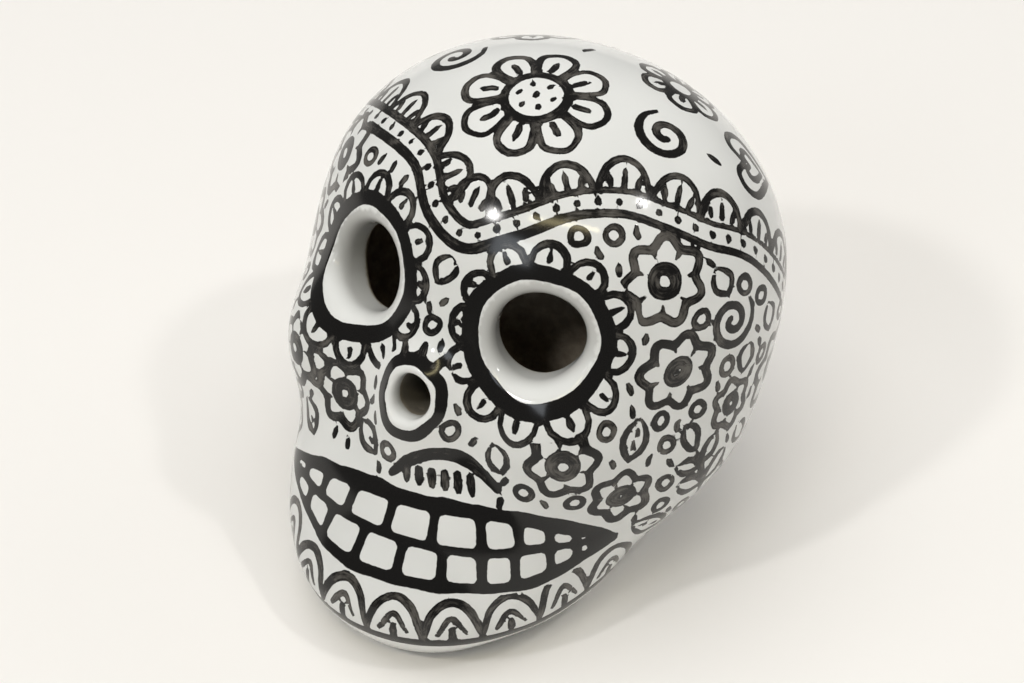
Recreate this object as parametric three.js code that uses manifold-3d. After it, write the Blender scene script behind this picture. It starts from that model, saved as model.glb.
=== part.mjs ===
// Sugar skull figurine: one hollow slip-cast ceramic skull with two round sockets and a nose hole.
// Millimetres, +Z up. The skull looks along -Y and its left side is +X.
// It rests on its flat underside at z = 0, with the origin at the middle of its plan.

import * as THREE from "three";
import { mergeVertices } from "three/addons/utils/BufferGeometryUtils.js";
import Module from "manifold-3d";

// Driving dimensions of the outside
// Each lobe is an ellipsoid, melted into the ones before it over the width "blend".
// A lobe with "pair" stands on both sides of the skull.
const lobes = [
  { name: "cranium", centre: [0, 11.6, 47.2], radii: [39.0, 33.2, 32.1] },
  { name: "face", centre: [0, 0, 27.6], radii: [37.2, 29.3, 21.1], blend: 16.6 },
  { name: "jaw", centre: [0, -19.5, 10.1], radii: [25.7, 25.0, 11.5], blend: 17.2 },
  { name: "cheekbone", centre: [19.6, -16.5, 38.2], radii: [8.7, 8.7, 8.7], blend: 9.8, pair: true },
  { name: "tooth arch", centre: [0, -25.4, 19.2], radii: [20.8, 9.8, 12.1], blend: 9.7 },
  { name: "chin", centre: [0, -31.0, 7.2], radii: [13.0, 10.0, 10.0], blend: 9.0 },
  { name: "nape", centre: [0, 12.0, 12.5], radii: [23.0, 20.0, 14.0], blend: 14.0 },
  { name: "sole", centre: [0, -9.0, 3.0], radii: [21.0, 29.0, 14.0], blend: 5.0 },
  { name: "nose", centre: [0, -26.0, 39.7], radii: [5.2, 4.7, 8.0], blend: 8.0 },
];
const baseEdge = 2.6; // softness of the edge round the flat underside

// Driving dimensions of the wall
const wall = 5.0; // cranium, jaw and underside
const wallAtSockets = 6.0; // where the clay was pressed in round the holes
const socketWallHeight = [20, 45]; // the wall thickens between these two heights
const socketWallDepth = [0, 18]; // and between these two distances towards the face

// Driving dimensions of the sockets and the nose hole
// "splay" turns the tube away from the middle and "tilt" turns it up, in degrees.
// "lip" is how far the tube's rounded mouth spreads.
const socket = { x: 16.0, z: 55.3, splay: 20.4, tilt: 23, radius: 6.9, lip: 2.2, reach: 20 };
const noseHole = { x: 0, z: 44.7, splay: 0, tilt: 18.8, radius: 2.8, lip: 1.4, reach: 18 };
const lipTurn = 54; // how far the lip curls over before it meets the outside, in degrees

// The skull is built in level rings. Their middles move back from the jaw to the cranium.
const ringMiddle = { jawY: -9, craniumY: 11.6, craniumZ: 48 };
const furthest = 90; // beyond every point of the skull, seen from a ring's middle

// Fineness of the facets
const outsideColumns = 70;
const outsideRows = 42;
const cavityColumns = 40;
const cavityRows = 22;
const frontCrowding = 0.3; // how far the columns crowd towards the face
const undersideRings = [0.45, 0.9]; // as shares of the lowest ring
const socketSides = 36;
const noseSides = 20;
const lipSteps = 5;
const halvings = 26; // how often a search halves its range
const tiny = 1e-6; // lengths below this are nothing
const weld = 1e-4; // points closer than this are one

// The outside as a signed distance, near enough: below zero inside, above zero outside

function meltedMin(a, b, blend) {
  const share = THREE.MathUtils.clamp(0.5 + (0.5 * (b - a)) / blend, 0, 1);
  return THREE.MathUtils.lerp(b, a, share) - blend * share * (1 - share);
}

function ellipsoidDistance(point, lobe, side) {
  const x = point.x - lobe.centre[0] * side;
  const y = point.y - lobe.centre[1];
  const z = point.z - lobe.centre[2];
  const [rx, ry, rz] = lobe.radii;
  const scaled = Math.hypot(x / rx, y / ry, z / rz);
  const slope = Math.hypot(x / rx ** 2, y / ry ** 2, z / rz ** 2);
  return (scaled * (scaled - 1)) / Math.max(slope, tiny);
}

function lobeDistance(point, lobe) {
  const left = ellipsoidDistance(point, lobe, 1);
  if (!lobe.pair) return left;
  return meltedMin(left, ellipsoidDistance(point, lobe, -1), lobe.blend);
}

function outside(point) {
  let distance = lobeDistance(point, lobes[0]);
  for (const lobe of lobes.slice(1)) {
    distance = meltedMin(distance, lobeDistance(point, lobe), lobe.blend);
  }
  return -meltedMin(-distance, point.z, baseEdge);
}

function wallAt(point) {
  const high = THREE.MathUtils.smoothstep(point.z, ...socketWallHeight);
  const forward = THREE.MathUtils.smoothstep(-point.y, ...socketWallDepth);
  return THREE.MathUtils.lerp(wall, wallAtSockets, high * forward);
}

function cavity(point) {
  return outside(point) + wallAt(point);
}

// How far along "direction" the form ends, with the start inside it
function reach(form, start, direction, nearest, farthest) {
  let near = nearest;
  let far = farthest;
  const point = new THREE.Vector3();
  for (let step = 0; step < halvings; step += 1) {
    const half = (near + far) / 2;
    point.copy(start).addScaledVector(direction, half);
    if (form(point) < 0) near = half;
    else far = half;
  }
  return (near + far) / 2;
}

// A closed body of level rings, each pushed out to the form's own section

function middleAt(z) {
  const share = THREE.MathUtils.smoothstep(z, 0, ringMiddle.craniumZ);
  const y = THREE.MathUtils.lerp(ringMiddle.jawY, ringMiddle.craniumY, share);
  return new THREE.Vector3(0, y, z);
}

function ringedBody(form, floor, columns, rows) {
  const up = new THREE.Vector3(0, 0, 1);
  const heart = middleAt(ringMiddle.craniumZ);
  const top = heart.z + reach(form, heart, up, 0, furthest);

  // The profile says for each ring which share of the section it takes, and its height
  const profile = [new THREE.Vector2(0, floor)];
  for (const share of undersideRings) profile.push(new THREE.Vector2(share, floor));
  for (let row = 1; row < rows; row += 1) {
    const rise = (1 - Math.cos((Math.PI * row) / rows)) / 2;
    profile.push(new THREE.Vector2(1, THREE.MathUtils.lerp(floor, top, rise)));
  }
  profile.push(new THREE.Vector2(0, top));
  const lowest = profile[undersideRings.length + 1].y;

  const geometry = new THREE.LatheGeometry(profile, columns);
  const position = geometry.getAttribute("position");
  const direction = new THREE.Vector3();
  for (let i = 0; i < position.count; i += 1) {
    const height = position.getY(i);
    const column = Math.floor(i / profile.length) % columns;
    const share = profile[i % profile.length].x;
    const even = (2 * Math.PI * column) / columns;
    const around = even - frontCrowding * Math.sin(even);
    direction.set(Math.sin(around), -Math.cos(around), 0);
    const start = middleAt(Math.max(height, lowest));
    const distance = share > 0 ? share * reach(form, start, direction, 0, furthest) : 0;
    start.addScaledVector(direction, distance);
    position.setXYZ(i, start.x, start.y, height);
  }
  return geometry;
}

// A round tube with a flared mouth, slid ring by ring until the flare meets the outside

function tubeAxis(hole, side) {
  const splay = THREE.MathUtils.degToRad(hole.splay) * side;
  const tilt = THREE.MathUtils.degToRad(hole.tilt);
  return new THREE.Vector3(
    Math.sin(splay) * Math.cos(tilt),
    -Math.cos(splay) * Math.cos(tilt),
    Math.sin(tilt),
  );
}

function tubeCutter(hole, side, sides) {
  const fullTurn = THREE.MathUtils.degToRad(lipTurn);
  const lipRadius = hole.lip / (1 - Math.cos(fullTurn));
  const mouth = hole.radius + hole.lip;
  const profile = [new THREE.Vector2(0, -hole.reach), new THREE.Vector2(hole.radius, -hole.reach)];
  for (let step = 0; step <= lipSteps; step += 1) {
    const turn = (step / lipSteps) * fullTurn;
    const out = hole.radius + lipRadius * (1 - Math.cos(turn));
    const deep = lipRadius * (Math.sin(fullTurn) - Math.sin(turn));
    profile.push(new THREE.Vector2(out, -deep));
  }
  const clear = mouth + hole.lip * Math.sin(fullTurn);
  profile.push(new THREE.Vector2(clear, hole.lip * Math.cos(fullTurn)));
  profile.push(new THREE.Vector2(clear, hole.reach / 2));
  profile.push(new THREE.Vector2(0, hole.reach / 2));
  const geometry = new THREE.LatheGeometry(profile, sides, Math.PI / sides);

  const axis = tubeAxis(hole, side);
  const turned = new THREE.Quaternion().setFromUnitVectors(new THREE.Vector3(0, 1, 0), axis);
  const forward = new THREE.Vector3(0, -1, 0);
  const centre = new THREE.Vector3(hole.x * side, 0, hole.z);
  centre.addScaledVector(forward, reach(outside, centre, forward, 0, furthest));

  const position = geometry.getAttribute("position");
  const start = new THREE.Vector3();
  const point = new THREE.Vector3();
  for (let i = 0; i < position.count; i += 1) {
    point.fromBufferAttribute(position, i);
    const fromAxis = Math.hypot(point.x, point.z);
    if (fromAxis > tiny && point.y > -hole.reach + tiny) {
      const scale = mouth / fromAxis;
      start.set(point.x * scale, 0, point.z * scale).applyQuaternion(turned).add(centre);
      point.y += reach(outside, start, axis, -hole.reach / 2, hole.reach / 2);
    }
    point.applyQuaternion(turned).add(centre);
    position.setXYZ(i, point.x, point.y, point.z);
  }
  return geometry;
}

// Solids, for the cuts

function toSolid(geometry) {
  const bare = geometry.clone();
  bare.deleteAttribute("normal");
  bare.deleteAttribute("uv");
  const merged = mergeVertices(bare, weld);
  const index = merged.getIndex().array;
  const whole = [];
  for (let i = 0; i < index.length; i += 3) {
    const [a, b, c] = [index[i], index[i + 1], index[i + 2]];
    if (a !== b && b !== c && c !== a) whole.push(a, b, c);
  }
  const vertProperties = new Float32Array(merged.getAttribute("position").array);
  const triVerts = new Uint32Array(whole);
  return new wasm.Manifold(new wasm.Mesh({ numProp: 3, vertProperties, triVerts }));
}

function toGeometry(solid) {
  const { vertProperties, triVerts } = solid.getMesh();
  const geometry = new THREE.BufferGeometry();
  geometry.setAttribute("position", new THREE.Float32BufferAttribute(vertProperties, 3));
  geometry.setIndex(new THREE.Uint32BufferAttribute(triVerts, 1));
  geometry.computeVertexNormals();
  return geometry;
}

// The skull: outside, less the hollow, less the two sockets and the nose hole

const wasm = await Module();
wasm.setup();

let body = toSolid(ringedBody(outside, 0, outsideColumns, outsideRows));
body = body.subtract(toSolid(ringedBody(cavity, wall, cavityColumns, cavityRows)));
for (const side of [-1, 1]) {
  body = body.subtract(toSolid(tubeCutter(socket, side, socketSides)));
}
body = body.subtract(toSolid(tubeCutter(noseHole, 1, noseSides)));

const whiteGlaze = new THREE.MeshStandardMaterial({ color: 0xe4e4df, roughness: 0.12, metalness: 0 });
const skull = new THREE.Mesh(toGeometry(body), whiteGlaze);
skull.name = "skull_body";

const sugarSkull = new THREE.Group();
sugarSkull.add(skull);

export default sugarSkull;
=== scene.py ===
import math
import bpy
import numpy as np
from mathutils import Matrix, Vector, kdtree


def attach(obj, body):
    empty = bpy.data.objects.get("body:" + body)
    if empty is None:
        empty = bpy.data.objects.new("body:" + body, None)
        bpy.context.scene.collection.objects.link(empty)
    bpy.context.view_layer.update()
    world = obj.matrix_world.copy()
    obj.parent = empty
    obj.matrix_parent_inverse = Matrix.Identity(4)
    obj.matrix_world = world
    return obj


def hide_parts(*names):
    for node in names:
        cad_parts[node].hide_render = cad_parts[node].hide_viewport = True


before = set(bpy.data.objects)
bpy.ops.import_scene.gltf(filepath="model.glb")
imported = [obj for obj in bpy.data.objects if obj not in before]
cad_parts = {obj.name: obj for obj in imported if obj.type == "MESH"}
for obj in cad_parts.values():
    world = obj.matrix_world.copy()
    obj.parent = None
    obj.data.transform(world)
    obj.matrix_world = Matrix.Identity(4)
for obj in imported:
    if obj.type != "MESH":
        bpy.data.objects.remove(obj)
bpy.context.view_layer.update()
mm = 0.001
print("frame loaded")

# Camera, where the photo was taken from
camera = {"azimuth": 33.39, "elevation": 40.94, "roll": -0.55, "distance": 417.2, "aim": (0, 0, 40),
          "focalPixels": 2600.0, "shiftPixels": (1.14, -27.66), "frameWidth": 1024, "sensor": 36.0}


def compass(azimuth, elevation):
    a, e = math.radians(azimuth), math.radians(elevation)
    return Vector((math.sin(a) * math.cos(e), -math.cos(a) * math.cos(e), math.sin(e)))


def addCamera(settings):
    back = compass(settings["azimuth"], settings["elevation"])
    turn = math.radians(settings["azimuth"])
    level = Vector((math.cos(turn), math.sin(turn), 0))
    rise = back.cross(level)
    roll = math.radians(settings["roll"])
    right = level * math.cos(roll) + rise * math.sin(roll)
    up = rise * math.cos(roll) - level * math.sin(roll)
    data = bpy.data.cameras.new("camera")
    data.sensor_width = settings["sensor"]
    data.lens = settings["focalPixels"] * settings["sensor"] / settings["frameWidth"]
    data.shift_x = -settings["shiftPixels"][0] / settings["frameWidth"]
    data.shift_y = settings["shiftPixels"][1] / settings["frameWidth"]
    data.clip_start = 0.01
    made = bpy.data.objects.new("camera", data)
    eye = (Vector(settings["aim"]) + back * settings["distance"]) * mm
    made.matrix_world = Matrix.Translation(eye) @ Matrix((right, up, back)).transposed().to_4x4()
    bpy.context.scene.collection.objects.link(made)
    bpy.context.scene.camera = made


addCamera(camera)

# The skull's form, in millimetres, the same lobes as the solid's
skull = {
    "lobes": [
        {"centre": (0, 11.6, 47.2), "radii": (39.0, 33.2, 32.1)},  # cranium
        {"centre": (0, 0, 27.6), "radii": (37.2, 29.3, 21.1), "blend": 16.6},  # face
        {"centre": (0, -19.5, 10.1), "radii": (25.7, 25.0, 11.5), "blend": 17.2},  # jaw
        {"centre": (19.6, -16.5, 38.2), "radii": (8.7, 8.7, 8.7), "blend": 9.8, "pair": True},  # cheekbones
        {"centre": (0, -25.4, 19.2), "radii": (20.8, 9.8, 12.1), "blend": 9.7},  # tooth arch
        {"centre": (0, -31.0, 7.2), "radii": (13.0, 10.0, 10.0), "blend": 9.0},  # chin
        {"centre": (0, 12.0, 12.5), "radii": (23.0, 20.0, 14.0), "blend": 14.0},  # nape
        {"centre": (0, -9.0, 3.0), "radii": (21.0, 29.0, 14.0), "blend": 5.0},  # sole
        {"centre": (0, -26.0, 39.7), "radii": (5.2, 4.7, 8.0), "blend": 8.0},  # nose
    ],
    "baseEdge": 2.6,
    "wall": 5.0, "wallAtSockets": 6.0, "wallHeights": (20, 45), "wallDepths": (0, 18),
    "innerEdge": 1.1,  # softness where the tubes meet the hollow
    "voxel": 0.61, "triangles": 192000,
    "farthest": 90.0,  # beyond every point of the skull, seen from inside
    "halvings": 30,  # how often a search halves its range
    "nudge": 0.02,  # step for the slope of the form
    "insideFrom": 0.8, "undersideBelow": 0.25,  # what counts as plain when the mesh is thinned
}

# The tubes: "phase" and "oval" make them uneven; the rest sets the painted shade down each tube: the depth
# over which it darkens the glaze, how dark it gets and how even it is round the tube
holes = [
    {"x": 16.0, "z": 55.3, "splay": 20.4, "tilt": 23.0, "radius": 6.9, "lip": 2.7, "reach": 20,
     "phase": 0.4, "shadeFrom": (-1.0, 2.6), "shadeMost": 0.70, "shadeEvenly": 0.4},
    {"x": -16.0, "z": 55.3, "splay": -20.4, "tilt": 23.0, "radius": 6.9, "lip": 2.7, "reach": 20,
     "phase": 2.1, "shadeFrom": (-1.0, 2.6), "shadeMost": 0.70, "shadeEvenly": 0.4},
    {"x": 0.0, "z": 44.7, "splay": 0.0, "tilt": 18.8, "radius": 3.5, "lip": 1.4, "reach": 18,
     "phase": 1.0, "oval": 0.07, "shadeFrom": (2.5, 5.0), "shadeMost": 0.85, "shadeEvenly": 1.0},
]


def smoothStep(value, low, high):
    share = np.clip((value - low) / (high - low), 0, 1)
    return share * share * (3 - 2 * share)


def meltedMin(a, b, blend):
    share = np.clip(0.5 + 0.5 * (b - a) / blend, 0, 1)
    return b * (1 - share) + a * share - blend * share * (1 - share)


def ellipsoidDistance(points, centre, radii):
    scaled = (points - centre) / radii
    size = np.linalg.norm(scaled, axis=-1)
    slope = np.linalg.norm(scaled / radii, axis=-1)
    return size * (size - 1) / np.maximum(slope, 1e-9)


def outside(points):
    distance = None
    for lobe in skull["lobes"]:
        centre, radii = np.array(lobe["centre"], float), np.array(lobe["radii"], float)
        one = ellipsoidDistance(points, centre, radii)
        if lobe.get("pair"):
            one = meltedMin(one, ellipsoidDistance(points, centre * (-1, 1, 1), radii), lobe["blend"])
        distance = one if distance is None else meltedMin(distance, one, lobe["blend"])
    return -meltedMin(-distance, points[..., 2], skull["baseEdge"])


def wallAt(points):
    high = smoothStep(points[..., 2], *skull["wallHeights"])
    forward = smoothStep(-points[..., 1], *skull["wallDepths"])
    return skull["wall"] + (skull["wallAtSockets"] - skull["wall"]) * high * forward


def reachFrom(start, directions):
    near, far = np.zeros(len(directions)), np.full(len(directions), skull["farthest"])
    for _ in range(skull["halvings"]):
        half = (near + far) / 2
        within = outside(start + directions * half[:, None]) < 0
        near, far = np.where(within, half, near), np.where(within, far, half)
    return start + directions * near[:, None]


for hole in holes:
    hole["axis"] = np.array(compass(hole["splay"], hole["tilt"]))
    hole["centre"] = reachFrom(np.array((hole["x"], 0.0, hole["z"])), np.array([(0.0, -1.0, 0.0)]))[0]
    hole["right"] = np.cross((0, 0, 1), hole["axis"])
    hole["right"] /= np.linalg.norm(hole["right"])
    hole["up"] = np.cross(hole["axis"], hole["right"])


def holeCoordinates(points, hole):
    away = points - hole["centre"]
    height = away @ hole["axis"]
    flat = away - height[..., None] * hole["axis"]
    angle = np.arctan2(flat @ hole["up"], flat @ hole["right"])
    return np.linalg.norm(flat, axis=-1), angle, height


def insideTube(points, hole):
    radius, angle, height = holeCoordinates(points, hole)
    uneven = 1 + 0.022 * np.sin(2 * angle + hole["phase"]) + 0.014 * np.sin(3 * angle + 2 * hole["phase"])
    uneven = uneven - hole.get("oval", 0) * np.cos(2 * angle)
    return np.minimum(hole["radius"] * uneven - radius, hole["reach"] + height)


def roundedCut(body, cut, radius):
    corner = np.hypot(np.maximum(radius + body, 0), np.maximum(radius + cut, 0))
    return np.minimum(-radius, np.maximum(body, cut)) + corner


def bodyAndHollow(points):
    skin = outside(points)
    body = skin
    for hole in holes:
        body = roundedCut(body, insideTube(points, hole), hole["lip"])
    return body, -(skin + wallAt(points))


def solid(points):
    body, hollow = bodyAndHollow(points)
    return -meltedMin(-body, -hollow, skull["innerEdge"])


def slopeOf(form, points):
    slope = np.empty_like(points)
    step = skull["nudge"]
    for axis in range(3):
        nudge = np.zeros(3)
        nudge[axis] = step
        slope[:, axis] = (form(points + nudge) - form(points - nudge)) / (2 * step)
    return slope


def snapTo(form, points, rounds, most=0.8):
    for _ in range(rounds):
        slope = slopeOf(form, points)
        move = np.clip(form(points) / np.maximum((slope ** 2).sum(1), 0.05), -most, most)
        points = points - slope * move[:, None]
    return points


def pickOnly(piece):
    bpy.ops.object.select_all(action="DESELECT")
    piece.select_set(True)
    bpy.context.view_layer.objects.active = piece


def readPoints(mesh):
    flat = np.empty(len(mesh.vertices) * 3)
    mesh.vertices.foreach_get("co", flat)
    return flat.reshape(-1, 3) / mm


def writePoints(mesh, points):
    mesh.vertices.foreach_set("co", (points * mm).astype(np.float32).ravel())
    mesh.update()


def applyModifier(piece, kind, **settings):
    modifier = piece.modifiers.new(kind.lower(), kind)
    for name, value in settings.items():
        setattr(modifier, name, value)
    pickOnly(piece)
    bpy.ops.object.modifier_apply(modifier=modifier.name)


def makeSkull():
    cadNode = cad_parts["skull_body"]
    piece = bpy.data.objects.new("painted_skull", cadNode.data.copy())
    bpy.context.scene.collection.objects.link(piece)
    pickOnly(piece)
    bpy.ops.object.mode_set(mode="EDIT")
    bpy.ops.mesh.select_all(action="SELECT")
    bpy.ops.mesh.remove_doubles(threshold=1e-6)
    bpy.ops.object.mode_set(mode="OBJECT")
    applyModifier(piece, "REMESH", mode="VOXEL", voxel_size=skull["voxel"] * mm)
    writePoints(piece.data, snapTo(solid, readPoints(piece.data), 3))

    # The hollow and the underside need fewer faces than the skin
    points = readPoints(piece.data)
    body, hollow = bodyAndHollow(points)
    plain = (hollow > body + skull["insideFrom"]) | (points[:, 2] < skull["undersideBelow"])
    group = piece.vertex_groups.new(name="plain")
    group.add(np.flatnonzero(plain).tolist(), 1.0, "REPLACE")
    now = sum(len(face.vertices) - 2 for face in piece.data.polygons)
    print("faces before thinning", now, "plain share", round(float(plain.mean()), 3))
    if now > skull["triangles"]:
        applyModifier(piece, "DECIMATE", ratio=skull["triangles"] / now, vertex_group="plain",
                      use_collapse_triangulate=True)
    piece.vertex_groups.clear()
    points = snapTo(solid, readPoints(piece.data), 2)
    writePoints(piece.data, points)
    piece.data.materials.clear()
    print("skull mesh", len(piece.data.vertices), "vertices", len(piece.data.polygons), "faces")
    return piece


skullPiece = makeSkull()
skinPoints = readPoints(skullPiece.data)
skinSlopes = slopeOf(solid, skinPoints)
skinNormals = skinSlopes / np.linalg.norm(skinSlopes, axis=1)[:, None]
for polygon in skullPiece.data.polygons:
    polygon.use_smooth = True
skullPiece.data.normals_split_custom_set_from_vertices([tuple(normal) for normal in skinNormals])
bodySide, hollowSide = bodyAndHollow(skinPoints)

# Brush painting, kept at the mesh's points: "ink" is the distance to the nearest edge of a stroke
# (below zero in the stroke), "across" and "along" run with the brush, "tone" is how wet it was.
# "bare" and the painted shade follow at the end: where the clay shows, and how much darker the glaze is
# painted down the tubes
chance = np.random.default_rng(11)
heart = np.array((0.0, 4.0, 38.0))  # directions on the skull are counted from here
noInk = 5.0
paint = {name: np.full(len(skinPoints), start) for name, start in
         (("ink", noInk), ("across", 0.0), ("along", 0.0), ("tone", 1.0))}
paintable = bodySide > -0.6
brush = {
    "wobble": 0.07,  # of the stroke's width and its tone
    "shake": 0.10,  # of the stroke's line
    "dries": 0.12,  # tone lost from start to end
    "growOver": 0.18, "fadeOver": 0.35,  # shares of the stroke in which it widens and thins
    "run": 8,  # line points looked at together
    "margin": 1.2,
}


def mark(index, ink, across, along, tone):
    nearer = ink < paint["ink"][index]
    index = index[nearer]
    paint["ink"][index] = ink[nearer]
    paint["across"][index] = across[nearer]
    paint["along"][index] = along[nearer]
    paint["tone"][index] = np.broadcast_to(tone, nearer.shape)[nearer]


def wander(count, size):
    steps = np.linspace(0, 1, count)
    line = np.zeros(count)
    for wave in (1, 2, 3):
        line += chance.normal(0, size / wave) * np.sin(2 * math.pi * (wave * steps + chance.random()))
    return line


def strokeOn(points, width, tone=0.9, ends=(0.6, 0.3), closed=False):
    points = np.asarray(points, float)
    count = len(points)
    steps = np.linspace(0, 1, count)
    grow = np.minimum(1, ends[0] + (1 - ends[0]) * steps / brush["growOver"])
    fade = np.minimum(1, ends[1] + (1 - ends[1]) * (1 - steps) / brush["fadeOver"])
    half = width / 2 * (grow * fade if not closed else 1) * (1 + wander(count, brush["wobble"]))
    tones = np.clip(tone + wander(count, brush["wobble"]) - brush["dries"] * steps, 0, 1)
    run = np.concatenate([[0], np.cumsum(np.linalg.norm(np.diff(points, axis=0), axis=1))])
    run += chance.random() * 100
    for first in range(0, count - 1, brush["run"]):
        last = min(first + brush["run"], count - 1)
        low = points[first:last + 1].min(0) - width - brush["margin"]
        high = points[first:last + 1].max(0) + width + brush["margin"]
        near = np.flatnonzero(((skinPoints > low) & (skinPoints < high)).all(1) & paintable)
        if not len(near):
            continue
        starts, spans = points[first:last], np.diff(points[first:last + 1], axis=0)
        lengths = np.maximum((spans ** 2).sum(1), 1e-9)
        away = skinPoints[near][:, None] - starts[None]
        share = np.clip((away * spans).sum(2) / lengths, 0, 1)
        offset = away - share[..., None] * spans
        distance = np.linalg.norm(offset, axis=2)
        halves = half[first:last] + (half[first + 1:last + 1] - half[first:last]) * share
        ink = distance - halves
        best = ink.argmin(1)
        rows = np.arange(len(near))
        side = np.cross(skinNormals[near], spans[best])
        sign = np.sign((offset[rows, best] * side).sum(1))
        share = share[rows, best]
        runHere = run[first:last][best] + share * np.sqrt(lengths[best])
        toneHere = tones[first:last][best] * (1 - share) + tones[first + 1:last + 1][best] * share
        mark(near, ink[rows, best], sign * distance[rows, best], runHere, toneHere)


def smoothLine(points, closed=False, spacing=0.8):
    points = np.asarray(points, float)
    count = len(points)
    if count < 3:
        steps = max(2, int(np.linalg.norm(points[-1] - points[0]) / spacing) + 1)
        return points[0] + np.linspace(0, 1, steps)[:, None] * (points[-1] - points[0])
    ring = [points[i % count] for i in range(-1, count + 2)] if closed else \
        [2 * points[0] - points[1], *points, 2 * points[-1] - points[-2]]
    line = []
    for a, b, c, d in zip(ring, ring[1:], ring[2:], ring[3:]):
        steps = max(2, int(np.linalg.norm(c - b) / spacing))
        for step in range(steps):
            t = step / steps
            line.append(0.5 * (2 * b + (c - a) * t + (2 * a - 5 * b + 4 * c - d) * t * t
                               + (3 * b - a - 3 * c + d) * t ** 3))
    line.append(points[0] if closed else points[-1])
    return np.array(line)


def patchAt(azimuth, elevation, turn=0.0):
    origin = reachFrom(heart, np.array([compass(azimuth, elevation)]))[0]
    normal = slopeOf(outside, origin[None])[0]
    normal /= np.linalg.norm(normal)
    azimuth = math.radians(azimuth)
    level = np.array((math.cos(azimuth), math.sin(azimuth), 0.0))
    level -= normal * (level @ normal)
    level /= np.linalg.norm(level)
    rise = np.cross(normal, level)
    turn = math.radians(turn)
    right = level * math.cos(turn) + rise * math.sin(turn)
    return {"origin": origin, "right": right, "up": np.cross(normal, right)}


def onto(patch, flat):
    flat = np.asarray(flat, float)
    points = patch["origin"] + flat[:, :1] * patch["right"] + flat[:, 1:2] * patch["up"]
    return snapTo(outside, points, 4, 4.0)


def onSkin(points):
    return snapTo(outside, np.asarray(points, float), 3, 3.0)


def draw(patch, strokes):
    for stroke in strokes:
        flat, width, tone = stroke[:3]
        options = stroke[3] if len(stroke) > 3 else {}
        closed = options.get("closed", False)
        line = smoothLine(flat, closed)
        line = line + np.stack([wander(len(line), brush["shake"]), wander(len(line), brush["shake"])], 1)
        if closed:
            line[-1] = line[0]
        strokeOn(onto(patch, line), width, tone, options.get("ends", (0.6, 0.3)), closed)


def path(directions):
    line = smoothLine(np.asarray(directions, float), spacing=2.0)
    return reachFrom(heart, np.array([compass(a, e) for a, e in line]))


def clearDisc(patch, radius):
    distance = np.linalg.norm(skinPoints - patch["origin"], axis=1)
    near = np.flatnonzero(distance < radius + 2)
    paint["ink"][near] = np.maximum(paint["ink"][near], radius - distance[near])


# Motifs, drawn flat in millimetres round (0, 0)

def circle(radius, squash=1.0):
    angles = np.linspace(0, 2 * math.pi, 10, endpoint=False)
    return np.stack([radius * np.cos(angles), radius * squash * np.sin(angles)], 1)


def turned(points, angle, shift=(0, 0)):
    points = np.asarray(points, float)
    c, s = math.cos(angle), math.sin(angle)
    return points @ np.array([(c, s), (-s, c)]) + np.array(shift)


def flower(petals, inner, outer, width=1.2):
    strokes = [(circle(inner), width * 1.25, 0.98, {"closed": True})]
    half = math.pi / petals
    for k in range(petals):
        length = (outer - inner) * chance.uniform(0.93, 1.05)
        polar = [(0, -0.80), (0.45, -0.88), (0.82, -0.66), (1.0, 0), (0.82, 0.66), (0.45, 0.88), (0, 0.80)]
        loop = []
        for share, lean in polar:
            far = inner + share * length
            loop.append((far * math.sin(half * lean), far * math.cos(half * lean)))
        petal = turned(loop, 2 * half * k)
        strokes.append((petal, width * chance.uniform(0.9, 1.1), chance.uniform(0.7, 1.0),
                        {"ends": (0.9, 0.8)}))
        vein = turned([(0, inner + 0.22 * length), (0, inner + 0.64 * length)], 2 * half * k)
        strokes.append((vein, width, 0.85, {"ends": (0.9, 0.3)}))
    return strokes


def bloom(lobes, radius, width=1.45):
    angles = np.linspace(0, 2 * math.pi, 6 * lobes, endpoint=False)
    far = radius * (1 + 0.13 * np.cos(lobes * angles) + 0.05 * np.sin(2 * angles + chance.random() * 6))
    edge = np.stack([far * np.cos(angles), far * np.sin(angles)], 1)
    strokes = [(edge, width, chance.uniform(0.6, 1.0), {"closed": True})]
    strokes.append((circle(radius * 0.33, chance.uniform(0.8, 1.1)), width * 1.4, chance.uniform(0.7, 1.0),
                    {"closed": True}))
    for k in range(lobes):
        angle = 2 * math.pi * (k + 0.5) / lobes
        tick = turned([(radius * 0.80, 0), (radius * 0.62, 0)], angle)
        strokes.append((tick, width * 0.75, 0.75, {"ends": (0.9, 0.5)}))
    return strokes


def leaf(length, width, angle, start=(0, 0), seeds=2, thick=1.25):
    half = np.array([(0, 0), (0.34, 0.22), (0.5, 0.5), (0.32, 0.8), (0, 1.0)])
    left, right = half * (width, length), half * (-width, length)
    strokes = [(turned(left, angle, start), thick, chance.uniform(0.75, 1.0)),
               (turned(right, angle, start), thick, chance.uniform(0.7, 1.0))]
    for k in range(seeds):
        y = (0.33 + 0.30 * k / max(seeds - 1, 1)) * length
        seed = [(0.03 * width, y), (-0.03 * width, y + 0.14 * length)]
        strokes.append((turned(seed, angle, start), thick * 0.85, 0.8, {"ends": (0.9, 0.5)}))
    return strokes


def spray(length, pairs, leafLength, leafWidth, bend=0.0):
    steps = np.linspace(0, 1, 6)
    stem = np.stack([bend * steps ** 2, length * steps], 1)
    seeds = 1 if leafWidth > 4 else 0
    strokes = [(stem, 1.35, 0.95)]
    for k in range(pairs):
        t = (k + 0.5) / (pairs + 0.3)
        at = (bend * t * t, length * t)
        lean = math.atan2(2 * bend * t, length)
        for side in (-1, 1):
            size = 1 - 0.25 * t
            strokes += leaf(leafLength * size, leafWidth * size, -lean - side * 0.9, at, seeds)
    strokes += leaf(leafLength, leafWidth * 0.9, -math.atan2(2 * bend, length), (bend, length), seeds)
    return strokes


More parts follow.
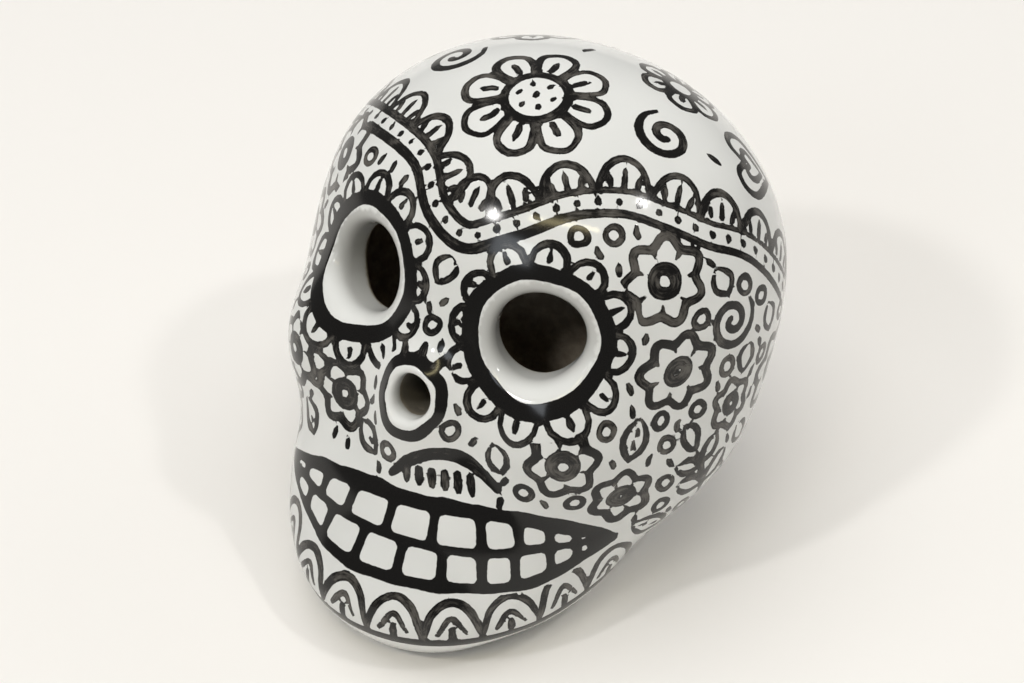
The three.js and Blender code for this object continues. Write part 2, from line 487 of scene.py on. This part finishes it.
def scroll(turns, radius, hand=1, width=1.3, start=0.0):
    angles = np.linspace(0, turns * 2 * math.pi, int(10 * turns) + 3)
    far = radius * (1 - 0.86 * angles / angles[-1])
    line = np.stack([hand * far * np.cos(angles + start), far * np.sin(angles + start)], 1)
    return [(line, width, 0.92, {"ends": (0.5, 0.9)})]


def heartShape(size, width=1.0):
    half = np.array([(0, -0.55), (0.34, -0.2), (0.6, 0.15), (0.52, 0.46), (0.26, 0.54), (0, 0.28)]) * size
    other = half * (-1, 1)
    return [(half, width, 0.95, {"ends": (0.8, 0.8)}), (other, width, 0.95, {"ends": (0.8, 0.8)})]


def dot(size, at=(0, 0)):
    lean = chance.uniform(-0.5, 0.5)
    tail = (at[0] + size * 0.5 * math.sin(lean), at[1] - size * 0.5 * math.cos(lean))
    return [([at, tail], size, 0.9, {"ends": (0.9, 0.8)})]


def dotRing(count, radius, size):
    return [one for k in range(count)
            for one in dot(size, (radius * math.cos(2 * math.pi * k / count),
                                  radius * math.sin(2 * math.pi * k / count)))]


def evenly(line, spacing):
    run = np.concatenate([[0], np.cumsum(np.linalg.norm(np.diff(line, axis=0), axis=1))])
    count = max(2, int(round(run[-1] / spacing)) + 1)
    marks = np.linspace(0, run[-1], count)
    return np.stack([np.interp(marks, run, line[:, axis]) for axis in range(3)], 1)


def sideOf(points):
    ahead = np.gradient(points, axis=0)
    normals = slopeOf(outside, points)
    side = np.cross(normals, ahead)
    return side / np.linalg.norm(side, axis=1)[:, None]


def scallops(line, size, rise, width, tone, fill):
    posts = evenly(line, size)
    for a, b in zip(posts, posts[1:]):
        middle = (a + b) / 2
        normal = slopeOf(outside, middle[None])[0]
        side = np.cross(normal, b - a)
        side /= np.linalg.norm(side)
        high = rise * chance.uniform(0.9, 1.1)
        arc = [a, a + 0.18 * (b - a) + side * high * 0.72, middle + side * high,
               b - 0.18 * (b - a) + side * high * 0.72, b]
        lobe = onSkin(smoothLine(arc))
        strokeOn(lobe, width * chance.uniform(0.88, 1.1), tone * chance.uniform(0.88, 1.05), (0.85, 0.7))
        if fill == "dot":
            at = middle + side * high * 0.42
            strokeOn(onSkin([at, at + side * 0.5]), 1.15, 0.85, (1, 0.9))
        elif fill == "leaf":
            inner = [a + 0.25 * (b - a) + side * high * 0.1, middle + side * high * 0.55,
                     b - 0.25 * (b - a) + side * high * 0.1]
            strokeOn(onSkin(smoothLine(inner)), 1.05, chance.uniform(0.6, 0.9), (0.8, 0.6))
            strokeOn(onSkin(smoothLine([middle, middle + side * high * 0.25])), 1.3, 0.85, (1, 0.8))
        elif fill == "dashes":
            for share in (-0.25, 0, 0.25):
                root = middle + (b - a) * share + side * high * 0.2
                tip = middle + (b - a) * share * 1.15 + side * high * (0.76 - abs(share) * 0.9)
                strokeOn(onSkin(smoothLine([root, tip])), 1.05, chance.uniform(0.7, 0.95), (1, 0.3))


def besideLine(line, distance):
    return snapTo(outside, line + sideOf(line) * distance, 4, 4.0)


# Rings round the sockets and the nose, and petals round the socket rings

rings = {
    "socket": {"white": 9.3, "black": 11.85}, "nose": {"white": 4.75, "black": 6.5},
    "tone": 1.35, "depth": 9,
}
petals = {"count": 12, "rise": 4.1, "width": 1.2, "lowRise": 0.62, "lowFrom": 2.5, "lowTo": 7.0}
noseBars = {"angles": (64, 92, 120), "from": 6.6, "to": 10.4, "width": 1.7, "room": 7.4, "clear": 5.6}


def paintRing(hole, sizes):
    radius, angle, height = holeCoordinates(skinPoints, hole)
    radius = radius / (1 - hole.get("oval", 0) * np.cos(2 * angle))
    wobble = 0.16 * np.sin(3 * angle + hole["phase"]) + 0.10 * np.sin(7 * angle + 3 * hole["phase"])
    middle, half = (sizes["white"] + sizes["black"]) / 2, (sizes["black"] - sizes["white"]) / 2
    uneven = 1 + 0.05 * np.sin(5 * angle) - 0.13 * np.sin(angle + 0.6)
    ink = np.abs(radius - middle - wobble) - half * uneven
    index = np.flatnonzero((ink < 2.5) & paintable & (np.abs(height) < rings["depth"]))
    run = angle * middle
    mark(index, ink[index], (radius - middle)[index], run[index], rings["tone"])


def onHole(hole, radius, angle):
    spoke = np.cos(angle)[:, None] * hole["right"] + np.sin(angle)[:, None] * hole["up"]
    points = hole["centre"] + np.broadcast_to(radius, angle.shape)[:, None] * spoke
    return snapTo(outside, points, 5, 4.0)


def paintPetals(hole, first=0.0):
    step = 2 * math.pi / petals["count"]
    base = rings["socket"]["black"]
    for k in range(petals["count"]):
        angle = first + k * step
        share = np.linspace(0, 1, 9)
        away = abs(onHole(hole, base + 2.0, np.array([angle + step / 2]))[0][0])
        openness = float(smoothStep(away, petals["lowFrom"], petals["lowTo"]))
        lowered = petals["lowRise"] + (1 - petals["lowRise"]) * openness
        rise = petals["rise"] * chance.uniform(0.9, 1.08) * lowered
        bulge = np.sin(math.pi * share) ** 0.55
        line = onHole(hole, base + rise * bulge - 0.2, angle + step * (0.02 + 0.96 * share))
        strokeOn(line, petals["width"] * chance.uniform(0.9, 1.1), chance.uniform(0.82, 1), (0.9, 0.8))
        middle = np.array([angle + step / 2])
        root = onHole(hole, base + 1.1, middle)[0]
        tip = onHole(hole, base + rise * 0.62, middle)[0]
        strokeOn(smoothLine([root, tip]), 1.25, chance.uniform(0.75, 1), (0.9, 0.5))


# Mouth: an inked lens with two rows of bare teeth, laid out by the angle round the jaw and the height

mouth = {
    "axisY": -10.0, "line": 1.55, "inset": 0.17, "round": 0.8, "middle": 12.0, "half": 64.5, "tone": 1.3,
    "reach": 75, "heights": (10, 36),  # where the mouth is looked for
    "angles": (-52, -39, -30, -19, -6, 9, 26, 40, 50, 60, 70, 76),
    "lipTop": (21.7, 25.4, 27.5, 28.9, 29.8, 30.1, 30.3, 30.2, 29.4, 27.8, 24.9, 21.8),
    "gum": (21.2, 23.7, 25.3, 26.6, 27.5, 28.0, 28.4, 28.3, 27.2, 24.8, 22.3, 21.2),
    "biteHigh": (21.1, 22.4, 22.6, 22.8, 23.2, 23.5, 23.8, 24.1, 24.2, 23.0, 21.9, 21.2),
    "biteLow": (20.9, 21.4, 21.5, 21.8, 22.3, 22.6, 22.8, 23.0, 23.0, 22.1, 21.0, 20.9),
    "floor": (20.6, 19.4, 18.7, 17.8, 17.9, 18.3, 18.4, 18.5, 19.1, 19.6, 20.2, 20.8),
    "lipLow": (20.4, 18.6, 17.4, 16.4, 16.5, 16.8, 17.0, 16.8, 17.0, 17.4, 18.3, 20.0),
    "upperGaps": (-45, -37.4, -27.4, -14.9, 1.6, 17.8, 33.9, 45.8, 55.3, 63.9, 69.5),
    "lowerGaps": (-41, -31.8, -20.4, -6.0, 8.3, 21.7, 34.0, 43.9, 54.7, 63.7, 69),
}


def paintMouth():
    x, y, z = skinPoints.T
    angle = np.degrees(np.arctan2(x, -(y - mouth["axisY"])))
    low, high = mouth["heights"]
    around = (np.abs(angle - mouth["middle"]) < mouth["reach"]) & (z > low) & (z < high)
    near = np.flatnonzero(around & paintable & (y < 0))
    x, y, z, angle = x[near], y[near], z[near], angle[near]
    radius = np.hypot(x, y - mouth["axisY"])

    def curve(name):
        line = smoothLine(np.stack([mouth["angles"], mouth[name]], 1), spacing=1.0)
        return np.interp(angle, line[:, 0], line[:, 1])

    lens = np.maximum(z - curve("lipTop"), curve("lipLow") - z) * 0.93
    lens = np.maximum(lens, (np.abs(angle - mouth["middle"]) - mouth["half"]) * 0.4)
    lens += 0.12 * np.sin(angle * 0.21) + 0.08 * np.sin(angle * 0.47 + 1)
    teeth = np.full(len(near), 9.0)
    rows = ((mouth["upperGaps"], "biteHigh", "gum"), (mouth["lowerGaps"], "floor", "biteLow"))
    for gaps, low, high in rows:
        low, high = curve(low), curve(high)
        level = (low + high) / 2
        tall = (high - low) / 2 - mouth["inset"]
        for left, right in zip(gaps, gaps[1:]):
            wide = math.radians(right - left) / 2 * radius - mouth["line"] / 2 * chance.uniform(0.9, 1.15)
            lean = chance.uniform(-0.08, 0.08)
            dx = np.abs(np.radians(angle - (left + right) / 2) * radius + lean * (z - level)) - wide
            dz = np.abs(z - level) - tall
            soft = np.minimum(mouth["round"], np.clip(np.minimum(wide, tall), 0.05, None))
            outer = np.hypot(np.maximum(dx + soft, 0), np.maximum(dz + soft, 0)) - soft
            teeth = np.minimum(teeth, np.where((wide > 0.25) & (tall > 0.25), outer, 9.0))
    ink = np.maximum(lens, -teeth)
    paint["ink"][near] = np.where(lens < 0.5, ink, np.minimum(paint["ink"][near], ink))
    for name, values in (("across", z), ("along", np.radians(angle) * radius), ("tone", mouth["tone"])):
        paint[name][near] = np.where(lens < 0.4, values, paint[name][near])


def heightPath(heightAt, first, last, steps):
    points = []
    for a in np.linspace(first, last, steps):
        z = heightAt(a)
        start = np.array((0.0, -9.0 + 0.4 * z, z))
        direction = np.array([(math.sin(math.radians(a)), -math.cos(math.radians(a)), 0.0)])
        points.append(reachFrom(start, direction)[0])
    return np.array(points)


def jawPoint(angle, height):
    start = np.array((0.0, mouth["axisY"], height))
    return reachFrom(start, np.array([compass(angle, 0)]))[0]


def directionOf(point):
    away = point - heart
    azimuth = math.degrees(math.atan2(away[0], -away[1]))
    return azimuth, math.degrees(math.asin(away[2] / np.linalg.norm(away)))


def place(azimuth, elevation, turn, strokes, room=0.0):
    patch = patchAt(azimuth, elevation, turn)
    if room:
        clearDisc(patch, room)
    draw(patch, strokes)


def baseHeight(angle, lowest):
    return lowest + 2.0 * min(1.0, abs(angle) / 55.0) ** 2


def paintBase():
    baseLine = heightPath(lambda angle: baseHeight(angle, 7.5) + 0.25 * math.sin(angle * 0.11),
                          -180, 180, 150)
    strokeOn(baseLine, 1.9, 1.1, (1, 1), closed=True)
    chinRow = heightPath(lambda angle: baseHeight(angle, 9.0), -70, 76, 60)
    scallops(chinRow, 9.8, 7.5, 1.45, 0.8, "leaf")


def paintCrown():
    place(180, 86, 10, flower(8, 5.0, 12.0, 1.25) + dotRing(6, 2.7, 1.1) + dot(1.3), 12.8)
    for side in (-1, 1):
        place(116 * side, 60, 0, scroll(1.5, 5.0, side, 1.5, 0.4))
        place(150 * side, 52, 0, flower(6, 2.6, 7.4, 1.2))


garland = [(-112, 14), (-97, 30), (-81, 47), (-62, 58), (-41, 62), (-18, 57), (4, 54), (24, 58), (52, 61),
           (73, 57), (84, 49), (92, 40), (101, 31), (110, 14)]


def paintGarland():
    line = path(garland)
    strokeOn(line, 1.7, 0.95, (0.8, 0.6))
    upper = besideLine(line, 3.6)
    strokeOn(upper, 1.3, 0.8, (0.8, 0.6))
    for post in evenly(besideLine(line, 1.8), 3.2):
        strokeOn(np.array([post, post + (0, 0, 0.6)]), 1.2, chance.uniform(0.7, 1), (1, 0.9))
    scallops(upper, 8.6, 5.4, 1.3, 0.9, "dashes")


def paintFace():
    place(-23, -1, 8, bloom(6, 4.9), 5.4)
    place(-36, 3, 20, bloom(6, 4.4), 5.0)
    place(-11, -6, 60, leaf(6.0, 3.6, 0, (0, -3), 1))
    place(-32, -12, 50, leaf(6.0, 3.6, 0, (0, -3), 1))
    for side in (-1, 1):
        place(side * 79, -22, side * 8, spray(13, 2, 7.5, 3.5, side * -1.5))
        place(side * 41, 2, side * 8, bloom(6, 5.4), 5.9)
        place(side * 55, -11, side * 20, bloom(6, 4.6), 5.2)
        place(side * 59, 4, side * -25, leaf(7.0, 4.4, 0, (0, -3.5), 2, 1.3))
        place(side * 73, 17, side * 10, bloom(7, 5.6), 6.4)
        place(side * 76, 39, side * 10, bloom(7, 6.0), 6.7)
        place(side * 90, 22, side * -10, scroll(1.7, 4.8, -side, 1.4, 2.6))
        place(side * 64, -25, side * 60, leaf(8.0, 4.2, 0, (0, -4), 2))


def paintLip():
    archPlaces = ((-2, 31.6), (5, 34.8), (14, 36.6), (25, 36.4), (34, 34.9), (40, 33.0))
    arch = [jawPoint(angle, z) for angle, z in archPlaces]
    strokeOn(onSkin(smoothLine(arch)), 2.2, 1.15, (0.6, 0.7))
    for k in range(6):
        tick = [jawPoint(4 + 5.2 * k, 33.8), jawPoint(5 + 5.2 * k, 31.4)]
        strokeOn(onSkin(smoothLine(tick)), 1.45, chance.uniform(0.6, 0.95), (0.9, 0.6))


def paintBack():
    for side in (-1, 1):
        place(side * 127, 37, side * 20, heartShape(9.5, 1.4) + heartShape(4.6, 1.2))
        place(side * 106, -2, 0, bloom(7, 6.2), 6.8)
        place(side * 122, 14, 0, scroll(1.9, 6.0, -side, 1.4, 2.0))
        place(side * 146, -2, 0, spray(18, 2, 8.5, 4.2, -side * 3))
        place(side * 96, -24, side * 40, leaf(8.5, 4.4, 0, (0, -4), 2))
    place(180, 26, 0, flower(9, 4.8, 13.5, 1.4))
    place(180, 26, 0, dotRing(6, 2.6, 1.2))
    rear = path([(118, -16), (140, -21), (160, -16), (180, -21), (200, -16), (220, -21), (242, -16)])
    strokeOn(rear, 1.6, 0.9)
    scallops(rear, 8.4, 5.4, 1.3, 0.85, "dot")


def clearRound(hole, radius, depth):
    fromAxis, _, height = holeCoordinates(skinPoints, hole)
    near = np.flatnonzero((fromAxis < radius + 1) & paintable & (np.abs(height) < depth))
    paint["ink"][near] = np.maximum(paint["ink"][near], radius - fromAxis[near])


def paintHoles():
    for hole, first in ((holes[0], 0.2), (holes[1], 0.05)):
        clearRound(hole, rings["socket"]["black"] + petals["rise"] * 0.8, 12)
        paintPetals(hole, first)
        paintRing(hole, rings["socket"])
    nose = holes[2]
    clearRound(nose, noseBars["room"], 8)
    for angle in np.radians(noseBars["angles"]):
        here = np.array([angle])
        bar = [onHole(nose, noseBars["from"], here)[0], onHole(nose, noseBars["to"], here)[0]]
        strokeOn(smoothLine(bar), noseBars["width"], chance.uniform(0.8, 1), (1, 0.7))
    clearRound(nose, noseBars["clear"], 8)
    paintRing(nose, rings["nose"])


def fillGaps(region, filling):
    inked = np.flatnonzero(paint["ink"] < 0.05)[::2]
    tree = kdtree.KDTree(len(inked))
    for order, index in enumerate(inked):
        tree.insert(skinPoints[index], order)
    tree.balance()
    free = np.flatnonzero(region & (paint["ink"] > 1.0))
    placed = []
    for index in chance.permutation(free)[:filling["tries"]]:
        point = skinPoints[index]
        if tree.find(point)[2] < filling["room"]:
            continue
        if placed and np.min(np.linalg.norm(np.array(placed) - point, axis=1)) < filling["spacing"]:
            continue
        placed.append(point)
        draw(patchAt(*directionOf(point), chance.uniform(-35, 35)), filling["motif"]())
    print("filled", len(placed))


# Where the gaps are filled: above the base line, clear of the holes' painting, the garland and the mouth
fillingArea = {
    "lowest": 10.5, "socket": 12, "nose": 6.2, "noseAbove": 35, "garlandBehind": 12, "frontBefore": 5,
    "mouthHalf": 67, "mouthHeights": (15, 31),
}

# Small motifs in the gaps: "room" to the nearest ink, "spacing" of one kind, "tries" at random places
fillings = [
    {"room": 4.7, "spacing": 9.0, "tries": 4000, "motif": lambda: bloom(6, 3.9, 1.25)},
    {"room": 3.5, "spacing": 6.5, "tries": 4000, "motif": lambda: leaf(5.0, 3.6, 0, (0, -2.5), 0, 1.1)},
    {"room": 2.4, "spacing": 4.6, "tries": 5000,
     "motif": lambda: [(circle(1.3), 1.05, chance.uniform(0.6, 1), {"closed": True})]},
    {"room": 1.5, "spacing": 2.8, "tries": 9000,
     "motif": lambda: [([(0, -0.8), (0, 0.8)], 1.15, chance.uniform(0.6, 0.95), {"ends": (0.9, 0.5)})]},
]
crownFilling = {"room": 4.6, "spacing": 8.5, "tries": 3000,
                "motif": lambda: [([(0, -1.3), (0, 1.3)], 1.2, 0.85)]}


def paintFillings():
    x, y, z = skinPoints.T
    area = fillingArea
    skin = paintable & (bodySide > -0.3) & (hollowSide < -2) & (z > area["lowest"])
    left, right, nose = [holeCoordinates(skinPoints, hole)[0] for hole in holes]
    inRings = (left < area["socket"]) | (right < area["socket"])
    inRings |= (nose < area["nose"]) & (z > area["noseAbove"])
    skin &= ~(inRings & (y < area["frontBefore"]))
    away = skinPoints - heart
    azimuth = np.degrees(np.arctan2(x - heart[0], -(y - heart[1])))
    rise = np.degrees(np.arcsin(away[:, 2] / np.linalg.norm(away, axis=1)))
    behind = area["garlandBehind"]
    edge = [(-180, behind), (-125, behind)] + garland + [(125, behind), (180, behind)]
    lower = skin & (rise < np.interp(azimuth, *np.array(edge, float).T))
    turn = np.degrees(np.arctan2(x, -(y - mouth["axisY"])))
    low, high = area["mouthHeights"]
    lower &= ~((np.abs(turn - mouth["middle"]) < area["mouthHalf"]) & (z > low) & (z < high) & (y < 0))
    for filling in fillings:
        fillGaps(lower, filling)
    fillGaps(skin & ~lower & (rise > behind), crownFilling)


def paintAll():
    paintBase()
    paintGarland()
    paintCrown()
    paintFace()
    paintBack()
    paintHoles()
    paintLip()
    paintMouth()
    paintFillings()


# The clay is bare in the hollow, on the underside and far down the nose hole
glazeEnds = {
    "hollow": (-1.6, 0.2), "underside": (0.15, 0.7), "nose": (3.0, 4.6),
    "noseRadius": 4.8, "tubeDepth": 12,
}


def bareClay():
    bare = smoothStep(hollowSide - bodySide, *glazeEnds["hollow"])
    bare = np.maximum(bare, 1 - smoothStep(skinPoints[:, 2], *glazeEnds["underside"]))
    radius, _, height = holeCoordinates(skinPoints, holes[2])
    inNose = (radius < glazeEnds["noseRadius"]) & (np.abs(height) < glazeEnds["tubeDepth"])
    return np.maximum(bare, inNose * smoothStep(-height, *glazeEnds["nose"]))


# Painted shade down the socket and nose tubes, as a share from 0 to 1
def paintTubeShade():
    deep = np.zeros(len(skinPoints))
    for hole in holes:
        radius, angle, height = holeCoordinates(skinPoints, hole)
        inTube = (radius < hole["radius"] * 1.3) & (height > -glazeEnds["tubeDepth"])
        tube = inTube & (hollowSide < bodySide)
        # Painted shade: darker further down each tube, strongest on its upper side and lightest at its
        # bottom
        around = hole["shadeEvenly"] + (1 - hole["shadeEvenly"]) * (0.5 - 0.5 * np.cos(angle + 1.1))
        deep = np.maximum(deep, tube * hole["shadeMost"] * around * smoothStep(-height, *hole["shadeFrom"]))
    return deep


paintAll()
paint["ink"] = np.where(bodySide < -1.0, noInk, paint["ink"])
paint["bare"] = bareClay()
paint["deep"] = paintTubeShade()
for name, values in paint.items():
    layer = skullPiece.data.attributes.new(name, "FLOAT", "POINT")
    layer.data.foreach_set("value", values.astype(np.float32))
print("painted")


class Wire:
    def __init__(self, tree, socket=None):
        self.tree = tree
        self.socket = socket

    def node(self, kind, settings=None, inputs=None, output=0):
        made = self.tree.nodes.new(kind)
        for name, value in (settings or {}).items():
            setattr(made, name, value)
        for name, value in (inputs or {}).items():
            if isinstance(value, Wire):
                self.tree.links.new(value.socket, made.inputs[name])
            else:
                made.inputs[name].default_value = value
        return Wire(self.tree, made.outputs[output])

    def maths(self, operation, first, second):
        return self.node("ShaderNodeMath", {"operation": operation}, {0: first, 1: second})

    def __add__(self, other):
        return self.maths("ADD", self, other)

    def __sub__(self, other):
        return self.maths("SUBTRACT", self, other)

    def __rsub__(self, other):
        return self.maths("SUBTRACT", other, self)

    def __mul__(self, other):
        return self.maths("MULTIPLY", self, other)

    def step(self, low, high, start=0.0, end=1.0):
        return self.node("ShaderNodeMapRange", {"interpolation_type": "SMOOTHSTEP"},
                         {"Value": self, "From Min": low, "From Max": high, "To Min": start, "To Max": end})

    def mixed(self, first, second):
        return self.node("ShaderNodeMix", {"data_type": "RGBA"}, {0: self, 6: first, 7: second}, 2)

    def noise(self, vector, scale, detail=2.0, roughness=0.5):
        return self.node("ShaderNodeTexNoise", {}, {"Vector": vector, "Scale": scale, "Detail": detail,
                                                    "Roughness": roughness})


# Glaze, ink and clay: colours, roughness, noise scales per metre and bump heights in millimetres
finish = {
    "glaze": (0.77, 0.78, 0.765, 1), "glazeShade": (0.715, 0.725, 0.71, 1),
    "ink": (0.0065, 0.006, 0.0055, 1), "thinInk": (0.105, 0.098, 0.088, 1),
    # tubeShade is the colour of the painted shade down the tubes
    "clay": (0.44, 0.375, 0.29, 1), "clayDark": (0.29, 0.24, 0.18, 1), "tubeShade": (0.11, 0.104, 0.088, 1),
    "glazeRoughness": 0.07, "inkRoughness": 0.13, "clayRoughness": 0.88, "index": 1.42,
    "edgeScale": 900.0, "edgeWobble": 0.22, "edgeSoft": 0.045, "grainScale": 3200.0, "blotchScale": 330.0,
    "bristlesAcross": 2.4, "bristlesAlong": 0.45, "streaks": 1.3, "blotches": 1.2, "grains": 0.15,
    "rim": 0.2, "wetFrom": (0.30, 0.95), "cloudScale": 45.0, "clayScale": 420.0,
    "rippleScale": 70.0, "ripple": 0.055, "peelScale": 420.0, "peel": 0.0035,
    "inkRise": 0.010, "clayRise": 0.12,
}


def skullMaterial():
    material = bpy.data.materials.new("painted_glaze")
    material.use_nodes = True
    tree = material.node_tree
    tree.nodes.clear()
    w = Wire(tree)
    surface = w.node("ShaderNodeTexCoord", output="Object")
    read = {name: w.node("ShaderNodeAttribute", {"attribute_name": name}, output="Fac") for name in paint}

    # Brush edge and streaks
    edgeNoise = w.noise(surface, finish["edgeScale"])
    grain = w.noise(surface, finish["grainScale"])
    edge = read["ink"] + (edgeNoise - 0.5) * finish["edgeWobble"]
    mask = edge.step(finish["edgeSoft"], -finish["edgeSoft"])
    bristles = w.node("ShaderNodeCombineXYZ", {}, {"X": read["across"] * finish["bristlesAcross"],
                                                   "Y": read["along"] * finish["bristlesAlong"]})
    streak = w.noise(bristles, 1.0, 3.0, 0.6)
    blotch = w.noise(surface, finish["blotchScale"])
    wet = read["tone"] + (streak - 0.5) * finish["streaks"] + (blotch - 0.5) * finish["blotches"] \
        + (grain - 0.5) * finish["grains"]
    rim = edge.step(-0.34, -0.05, 0.0, finish["rim"])  # ink gathers at the edge of a stroke
    density = (wet + rim).step(*finish["wetFrom"])
    inkColour = density.mixed(finish["thinInk"], finish["ink"])

    cloud = w.noise(surface, finish["cloudScale"])
    glaze = cloud.step(0.3, 0.7).mixed(finish["glazeShade"], finish["glaze"])
    painted = mask.mixed(glaze, inkColour)
    clayNoise = w.noise(surface, finish["clayScale"], 4.0, 0.6)
    clay = clayNoise.step(0.3, 0.72).mixed(finish["clayDark"], finish["clay"])
    bareEdge = (read["bare"] + (edgeNoise - 0.5) * 0.35).step(0.25, 0.75)
    # Painted shade: the colour is mixed towards tubeShade down the tubes
    colour = read["deep"].mixed(bareEdge.mixed(painted, clay), finish["tubeShade"])

    gloss = mask * (finish["inkRoughness"] - finish["glazeRoughness"]) + finish["glazeRoughness"]
    roughness = bareEdge * (finish["clayRoughness"] - gloss) + gloss

    ripple = w.noise(surface, finish["rippleScale"], 1.0)
    peel = w.noise(surface, finish["peelScale"], 1.0)
    height = ripple * finish["ripple"] + peel * finish["peel"] + mask * finish["inkRise"] \
        + bareEdge * clayNoise * finish["clayRise"]
    bump = w.node("ShaderNodeBump", {}, {"Strength": 1.0, "Distance": mm, "Height": height})
    shader = w.node("ShaderNodeBsdfPrincipled", {}, {
        "Base Color": colour, "Roughness": roughness, "Normal": bump, "IOR": finish["index"],
        "Metallic": 0.0})
    tree.links.new(shader.socket, tree.nodes.new("ShaderNodeOutputMaterial").inputs["Surface"])
    return material


skullPiece.data.materials.append(skullMaterial())
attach(skullPiece, "root")
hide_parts("skull_body")

# Floor, light and world
studio = {
    "floorSize": 6.0, "floor": (0.905, 0.888, 0.862, 1),
    "world": (1.0, 0.99, 0.98, 1), "worldStrength": 0.19,
    "lamps": [
        {"name": "overhead", "azimuth": -110, "elevation": 83, "distance": 1.25, "size": (1.3, 1.3),
         "power": 11.2, "colour": (1, 0.99, 0.98), "mirrored": False},
        {"name": "back_fill", "azimuth": 148, "elevation": 32, "distance": 1.4, "size": (0.9, 0.9),
         "power": 1.9, "colour": (1, 0.99, 0.98), "mirrored": False},
        {"name": "left_lamp", "azimuth": -22, "elevation": 47, "distance": 1.2, "size": (0.09, 0.09),
         "power": 2.4, "colour": (1, 0.985, 0.965)},
        {"name": "right_lamp", "azimuth": 100, "elevation": 57, "distance": 1.2, "size": (0.08, 0.08),
         "power": 1.6, "colour": (1, 0.985, 0.965)},
        {"name": "window_band", "azimuth": 24, "elevation": 57, "distance": 1.2, "size": (0.62, 0.06),
         "power": 1.3, "colour": (1, 0.87, 0.50)},
        {"name": "front_window", "azimuth": -3, "elevation": 36, "distance": 1.4, "size": (0.42, 0.30),
         "power": 1.5, "colour": (0.87, 0.93, 1)},
    ],
}


def addLamp(settings):
    data = bpy.data.lights.new(settings["name"], "AREA")
    data.shape = "RECTANGLE"
    data.size, data.size_y = settings["size"]
    data.energy = settings["power"]
    data.color = settings["colour"]
    lamp = bpy.data.objects.new(settings["name"], data)
    back = compass(settings["azimuth"], settings["elevation"])
    lamp.location = Vector((0, 0, 0.045)) + back * settings["distance"]
    lamp.rotation_euler = back.to_track_quat("Z", "Y").to_euler()
    lamp.visible_glossy = settings.get("mirrored", True)
    bpy.context.scene.collection.objects.link(lamp)


def addStudio(settings):
    bpy.ops.object.select_all(action="DESELECT")
    bpy.ops.mesh.primitive_plane_add(size=settings["floorSize"], location=(0, 0, 0))
    floor = bpy.context.object
    floor.name = "floor"
    material = bpy.data.materials.new("paper")
    material.use_nodes = True
    shader = material.node_tree.nodes["Principled BSDF"]
    shader.inputs["Base Color"].default_value = settings["floor"]
    shader.inputs["Roughness"].default_value = 0.9
    shader.inputs["Specular IOR Level"].default_value = 0.15
    floor.data.materials.append(material)
    world = bpy.data.worlds.new("studio")
    world.use_nodes = True
    background = world.node_tree.nodes["Background"]
    background.inputs["Color"].default_value = settings["world"]
    background.inputs["Strength"].default_value = settings["worldStrength"]
    bpy.context.scene.world = world
    for lamp in settings["lamps"]:
        addLamp(lamp)
    bpy.context.scene.view_settings.view_transform = "Standard"


addStudio(studio)
print("studio ready")
